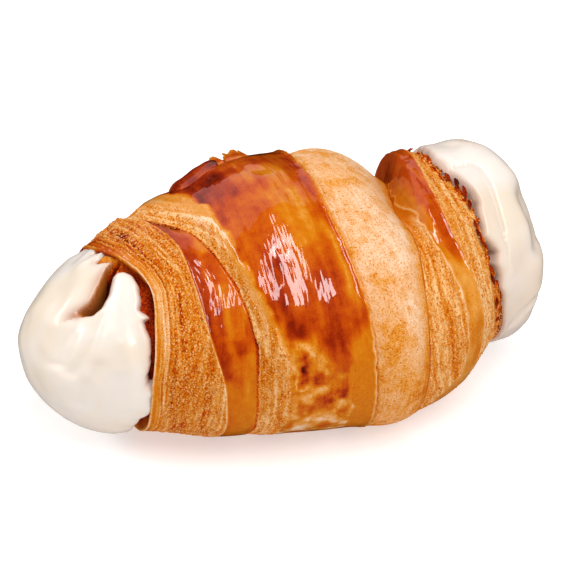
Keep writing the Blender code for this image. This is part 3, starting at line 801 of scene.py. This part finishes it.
def lifted_sheet(name, start, end, path, thickness, ragged, tone, seed):
    """Sheet of dough torn loose from the crown. path gives angles and heights from foot to free edge."""
    u = np.linspace(0, 1, 60)[:, None]
    v = np.linspace(0, 1, 26)[None, :]
    x = start + (end - start) * (u + 0 * v)
    steps = np.linspace(0, 1, len(path))
    coarse, fine = (
        noise(np.stack([u * count, 0 * u, 0 * u], -1), 1.0, seed + shift)
        for count, shift in ((7, 0), (22, 3)))
    reach = 1 + ragged * (coarse + 0.6 * fine) - 0.5 * (2 * u - 1) ** 6
    along = v * np.clip(reach, 0.3, 1.2)
    angle = smooth_curve(steps, [a for a, _ in path], along)
    share = np.sqrt(unit(1 - (2 * u - 1) ** 4))
    height = smooth_curve(steps, [h for _, h in path], along) * (0.55 + 0.45 * share)
    middle = roll_surface(x, angle, height)
    middle += 0.25 * noise(middle, 3.0, seed + 1)[..., None]
    v = v + 0 * u
    shade = tone + 0.14 * noise(roll_surface(x, angle), 3.0, seed + 2)
    shade += 0.16 * bump(0.55, 0.25, v) - 0.12 * ease(0.8, 1.0, v)
    finish = {"bake_and_painted_light": shade, "glaze": 0.8 + 0 * shade, "cut": 0 * shade}
    return sheet_piece(name, middle, thickness * (1.1 - 0.6 * v), finish)


def geometry_tree(name, inputs):
    """Empty tree with named inputs, geometry in and out, and its first and last node."""
    tree = bpy.data.node_groups.new(name, "GeometryNodeTree")
    for label, kind in (("Geometry", "Geometry"),) + inputs:
        tree.interface.new_socket(label, in_out="INPUT", socket_type="NodeSocket" + kind)
    tree.interface.new_socket("Geometry", in_out="OUTPUT", socket_type="NodeSocketGeometry")
    return tree, add(tree, "NodeGroupInput").outputs, add(tree, "NodeGroupOutput")


def grown(name, source, tree, values):
    """Plain mesh of what the tree grows on source, which is left as it was."""
    modifier = source.modifiers.new(name, "NODES")
    modifier.node_group = tree
    names = {item.name: item.identifier for item in tree.interface.items_tree if item.in_out == "INPUT"}
    for label, value in values.items():
        modifier[names[label]] = value
    depsgraph = bpy.context.evaluated_depsgraph_get()
    mesh = bpy.data.meshes.new_from_object(source.evaluated_get(depsgraph), depsgraph=depsgraph)
    source.modifiers.remove(modifier)
    mesh.name = name
    return in_scene(name, mesh)


def finish_tree(tree, geometry, material, bake_low, bake_high, seed, end):
    """Gives each instance its own bake, then makes it real and sets its material."""
    bake_and_painted_light = add(tree, "FunctionNodeRandomValue", i2=bake_low, i3=bake_high, Seed=seed).outputs[1]
    stored = add(
        tree, "GeometryNodeStoreNamedAttribute", {"domain": "INSTANCE"},
        Geometry=geometry, Name="bake_and_painted_light", Value=bake_and_painted_light).outputs[0]
    real = add(tree, "GeometryNodeRealizeInstances", Geometry=stored).outputs[0]
    painted = add(tree, "GeometryNodeSetMaterial", Geometry=real, Material=material).outputs[0]
    tree.links.new(painted, end.inputs[0])


def crumb_tree():
    """Crisp grains of crumb that stand out of the cut faces."""
    tree, given, end = geometry_tree("crumbs", (
        ("Density", "Float"), ("Smallest", "Float"), ("Largest", "Float"), ("Seed", "Int"),
        ("Material", "Material")))
    seed = given["Seed"]
    cut = add(tree, "GeometryNodeInputNamedAttribute", Name="cut").outputs["Attribute"]
    sharp = add(tree, "ShaderNodeMath", {"operation": "POWER"}, i0=cut, i1=3.0).outputs[0]
    density = add(tree, "ShaderNodeMath", {"operation": "MULTIPLY"}, i0=sharp, i1=given["Density"]).outputs[0]
    points = add(
        tree, "GeometryNodeDistributePointsOnFaces", Mesh=given["Geometry"], Density=density, Seed=seed)
    grain = add(tree, "GeometryNodeMeshIcoSphere", Radius=1.0, Subdivisions=1).outputs["Mesh"]
    size = add(
        tree, "FunctionNodeRandomValue", i2=given["Smallest"], i3=given["Largest"], Seed=seed).outputs[1]
    shape = add(
        tree, "FunctionNodeRandomValue", {"data_type": "FLOAT_VECTOR"},
        i0=(0.6, 0.8, 0.35), i1=(1.1, 1.6, 0.7), Seed=seed).outputs[0]
    scale = add(tree, "ShaderNodeVectorMath", {"operation": "SCALE"}, i0=shape, Scale=size).outputs[0]
    placed = add(
        tree, "GeometryNodeInstanceOnPoints", Points=points.outputs["Points"], Instance=grain,
        Rotation=points.outputs["Rotation"], Scale=scale).outputs[0]
    finish_tree(tree, placed, given["Material"], 0.0, 0.36, seed, end)
    return tree


def flake_tree():
    """Burnt flakes of torn layer: flat ragged lenses, turned and sized by their points."""
    tree, given, end = geometry_tree("flakes", (
        ("Raggedness", "Float"), ("Seed", "Int"), ("Material", "Material")))
    lens = add(tree, "GeometryNodeMeshIcoSphere", Radius=1.0, Subdivisions=4).outputs["Mesh"]
    place = add(tree, "GeometryNodeInputPosition").outputs[0]
    rough = add(tree, "ShaderNodeTexNoise", Vector=place, Scale=1.7, Detail=3.0).outputs["Color"]
    centred = add(
        tree, "ShaderNodeVectorMath", {"operation": "SUBTRACT"}, i0=rough, i1=(0.5, 0.5, 0.5)).outputs[0]
    offset = add(
        tree, "ShaderNodeVectorMath", {"operation": "SCALE"}, i0=centred, Scale=given["Raggedness"]).outputs[0]
    torn = add(tree, "GeometryNodeSetPosition", Geometry=lens, Offset=offset).outputs[0]
    vector = {"data_type": "FLOAT_VECTOR"}
    turn, size = (
        add(tree, "GeometryNodeInputNamedAttribute", vector, Name=key).outputs["Attribute"]
        for key in ("turn", "size"))
    placed = add(
        tree, "GeometryNodeInstanceOnPoints", Points=given["Geometry"], Instance=torn, Rotation=turn,
        Scale=size).outputs[0]
    finish_tree(tree, placed, given["Material"], 0.62, 0.96, given["Seed"], end)
    return tree


# Burnt flakes on the right coil's torn rim: place, angle, half length, half width, lean outwards in degrees
RIM_FLAKES = (
    (42.0, 11, 1.9, 1.5, 40), (42.9, 17, 1.9, 1.6, 50), (43.2, 24, 2.4, 1.6, 35),
    (42.6, 31, 1.6, 1.3, 60), (41.4, 41, 1.6, 1.2, 40), (41.2, 46, 1.8, 1.2, 55),
    (41.5, 52, 2.6, 1.1, 70), (41.8, 66, 1.6, 1.2, 45), (41.6, 71, 2.2, 1.2, 50),
    (42.4, 86, 2.2, 1.2, 45), (43.3, 96, 1.4, 1.0, 40), (46.4, 200, 1.8, 1.2, 40),
    (46.6, 235, 2.2, 1.4, 40), (46.4, 262, 1.8, 1.4, 45), (45.8, 290, 2.1, 1.4, 40),
    (43.4, 331, 2.0, 1.4, 35),
)
FLAKE_SET_BACK = 2.7    # from the places above to the torn edge
FLAKE_STANDS = 0.7      # above the roll's smooth form


def rim_flakes(material):
    """Burnt flakes along the rim, each turned to follow it and leaning outwards."""
    places, turns, sizes = [], [], []
    for k, (x, angle, half_length, half_width, lean) in enumerate(RIM_FLAKES):
        foot = np.array([x - FLAKE_SET_BACK])
        here, ahead, above = (
            roll_surface(foot, np.array([angle + further]), FLAKE_STANDS + higher)[0]
            for further, higher in ((0.0, 0.0), (0.5, 0.0), (0.0, 0.8)))
        along, out = Vector(ahead - here).normalized(), Vector(above - here).normalized()
        roll = Vector((1, 0, 0))
        roll = (roll - along * roll.dot(along)).normalized()
        up = (out - along * out.dot(along)).normalized()
        tilt = math.radians(lean)
        wide = (up * math.cos(tilt) + roll * math.sin(tilt) + along * 0.35 * math.sin(7.0 * k)).normalized()
        thick = along.cross(wide).normalized()
        along = wide.cross(thick)
        matrix = Matrix((along, wide, thick)).transposed()
        places.append(tuple((here + SHIFT) * MM))
        turns.append(matrix.to_euler())
        sizes.append((0.62 * half_length * MM, 0.30 * half_width * MM, 0.13 * MM))
    mesh = bpy.data.meshes.new("flake_places")
    mesh.from_pydata(places, [], [])
    for key, rows in (("turn", turns), ("size", sizes)):
        set_attribute(mesh, key, [tuple(row) for row in rows], vector=True)
    source = in_scene("flake_places", mesh)
    piece = grown("rim_flakes", source, flake_tree(), {"Raggedness": 2.8, "Seed": 5, "Material": material})
    bpy.data.objects.remove(source)
    return piece


def settle(piece, material, node):
    """Gives a piece its material, hides the solid it replaces, and hangs it under the root body."""
    if not piece.data.materials:
        piece.data.materials.append(material)
    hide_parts(node)
    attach(piece, "root")


COIL_ROWS, COAT_ROWS = 440, 400     # points round a coil, and round a coat of chocolate
CRUMB_SIZES = {"Smallest": 0.15 * MM, "Largest": 0.40 * MM}
# Steps at the ends of a coil, as (inwards along the roll, down, painted shade on the step): the cut rim of the
# left coil, the overhanging edge of the centre coil, the torn rim of the right coil, the ends of the left and
# right coils that run in under the centre one, and the crease where the centre coil meets the right one
CUT_EDGE = ((-0.05, 0.35, 0.05), (0.1, 1.0, 0.2), (0.5, 2.2, 0.35), (0.8, 4.0, 0.45), (1.2, 7.5, 0.5))
OUTER_EDGE = ((-0.1, 0.3, 0.05), (0.0, 0.9, 0.2), (0.5, 2.2, 0.4), (1.0, 4.5, 0.5), (1.5, 8.0, 0.5))
TORN_EDGE = ((-0.1, 0.4, 0.1), (0.2, 1.2, 0.3), (0.8, 4.0, 0.4), (1.2, 7.5, 0.5))
TUCKED_LEFT = ((-2.0, 1.2, 0.1), (-5.0, 3.0, 0.4), (-7.0, 7.0, 0.4))
TUCKED_RIGHT = ((-1.5, 0.5, 0.0), (-3.0, 1.5, 0.0), (-6.0, 4.0, 0.3))
CREASE = ((-1.0, 1.0, 0.3), (-1.5, 3.0, 0.4), (-1.5, 7.0, 0.4))


def build_croissant():
    crust = crust_material()
    white = chocolate_material()
    left_rim, centre_start, right_start = (
        functools.partial(lip, values) for values in (LIP_LEFT_RIM, LIP_CENTRE_LEFT, LIP_RIGHT_START))
    left = coil("left_coil", left_rim, centre_start, 120, left_skin, CUT_EDGE, TUCKED_LEFT)
    centre = coil("centre_coil", centre_start, right_start, 210, centre_skin, OUTER_EDGE, CREASE)
    right = coil("right_coil", right_start, ragged_rim, 120, right_skin, TUCKED_RIGHT, TORN_EDGE)
    inner_left = end_roll("inner_roll_left", -1, columns=130, rows=360)
    inner_right = end_roll("inner_roll_right", 1, columns=40, rows=180)
    flap = lifted_sheet(
        "curled_flap", -31.0, -17.0, ((-17, 0.8), (-24, 2.6), (-30, 3.9), (-36, 4.3), (-41, 3.4), (-43, 2.2)),
        thickness=0.8, ragged=0.25, tone=0.70, seed=91)
    flake = lifted_sheet(
        "crown_flake", -21.5, -7.5, ((-20, 1.0), (-24, 1.9), (-28, 2.7), (-31, 3.4), (-34, 3.9)),
        thickness=0.5, ragged=0.55, tone=0.46, seed=95)
    tree = crumb_tree()
    crumbs = [
        grown(name, coat, tree, {"Density": density, "Seed": seed, "Material": crust, **CRUMB_SIZES})
        for seed, (name, coat, density) in enumerate((
            ("left_crumbs", left, 2.4e6), ("centre_crumbs", centre, 1.5e6), ("right_crumbs", right, 1.2e6)))
    ]
    flakes = rim_flakes(crust)
    for piece in (left, centre, right, inner_left, inner_right, flap, flake, flakes, *crumbs):
        settle(piece, crust, "pastry")
    coat_left = chocolate("chocolate_left", -1, COAT_LEFT, columns=150)
    coat_right = chocolate("chocolate_right", 1, COAT_RIGHT, columns=130)
    settle(coat_left, white, "white_chocolate_left")
    settle(coat_right, white, "white_chocolate_right")


# Softboxes: place, width and height in metres, power in watts, colour, and whether the glaze mirrors it
LIGHTS = {
    "key": ((0.09, -0.42, 0.80), (0.20, 0.80), 6.1, (1.0, 0.98, 0.98), True),
    "side": ((-0.12, -0.20, 0.88), (0.08, 0.86), 2.3, (1.0, 0.98, 0.98), True),
    "left": ((-0.68, 0.36, 0.42), (0.62, 0.15), 2.3, (1.0, 0.97, 0.96), True),
    "back": ((-0.12, 0.62, 0.62), (1.40, 0.80), 2.2, (1.0, 0.96, 0.97), True),
    "fill": ((-0.22, -0.30, 1.0), (1.6, 1.6), 1.9, (1.0, 1.0, 1.0), False),
    "right": ((0.62, -0.30, 0.34), (0.6, 0.5), 0.45, (1.0, 0.99, 0.98), False),
}
LIGHTS_AIM_AT = Vector((0, 0, 0.03))
# Camera at the photo's angle: lens and sensor in millimetres, distance in metres
LENS, SENSOR = 135, 36
AZIMUTH, ELEVATION, DISTANCE = math.radians(-24), math.radians(34), 0.575
CAMERA_AIMS_AT = Vector((0.004436, 0.009817, 0.0272))


def studio():
    """White floor, softboxes, and a camera at the photo's angle."""
    mesh = bpy.data.meshes.new("floor")
    mesh.from_pydata([(-4, -4, 0), (4, -4, 0), (4, 4, 0), (-4, 4, 0)], [], [(0, 1, 2, 3)])
    material, tree = new_material("floor")
    shader = add(
        tree, "ShaderNodeBsdfPrincipled", Base_Color=linear("d6d3d2"), Roughness=0.9,
        Emission_Color=(1.0, 1.0, 1.0, 1.0), Emission_Strength=0.5)
    add(tree, "ShaderNodeOutputMaterial", Surface=shader.outputs["BSDF"])
    mesh.materials.append(material)
    floor = in_scene("floor", mesh)
    floor.visible_glossy = False
    world = bpy.data.worlds.new("studio")
    bpy.context.scene.world = world
    world.use_nodes = True
    background = world.node_tree.nodes["Background"].inputs
    background["Color"].default_value = (1, 1, 1, 1)
    background["Strength"].default_value = 0.20
    world.cycles_visibility.glossy = False
    for name, (place, size, power, colour, mirrored) in LIGHTS.items():
        lamp = bpy.data.lights.new(name, "AREA")
        lamp.shape = "RECTANGLE"
        lamp.size, lamp.size_y = size
        lamp.energy = power
        lamp.color = colour
        light = in_scene(name, lamp)
        light.location = place
        light.rotation_euler = (LIGHTS_AIM_AT - Vector(place)).to_track_quat("-Z", "Y").to_euler()
        light.visible_glossy = mirrored
    camera = in_scene("camera", bpy.data.cameras.new("camera"))
    camera.data.lens = LENS
    camera.data.sensor_width = SENSOR
    level = math.cos(ELEVATION)
    back = Vector((math.sin(AZIMUTH) * level, -math.cos(AZIMUTH) * level, math.sin(ELEVATION)))
    camera.location = CAMERA_AIMS_AT + back * DISTANCE
    camera.rotation_euler = (math.pi / 2 - ELEVATION, 0, AZIMUTH)
    bpy.context.scene.camera = camera
    bpy.context.scene.view_settings.view_transform = "Standard"


build_croissant()
studio()
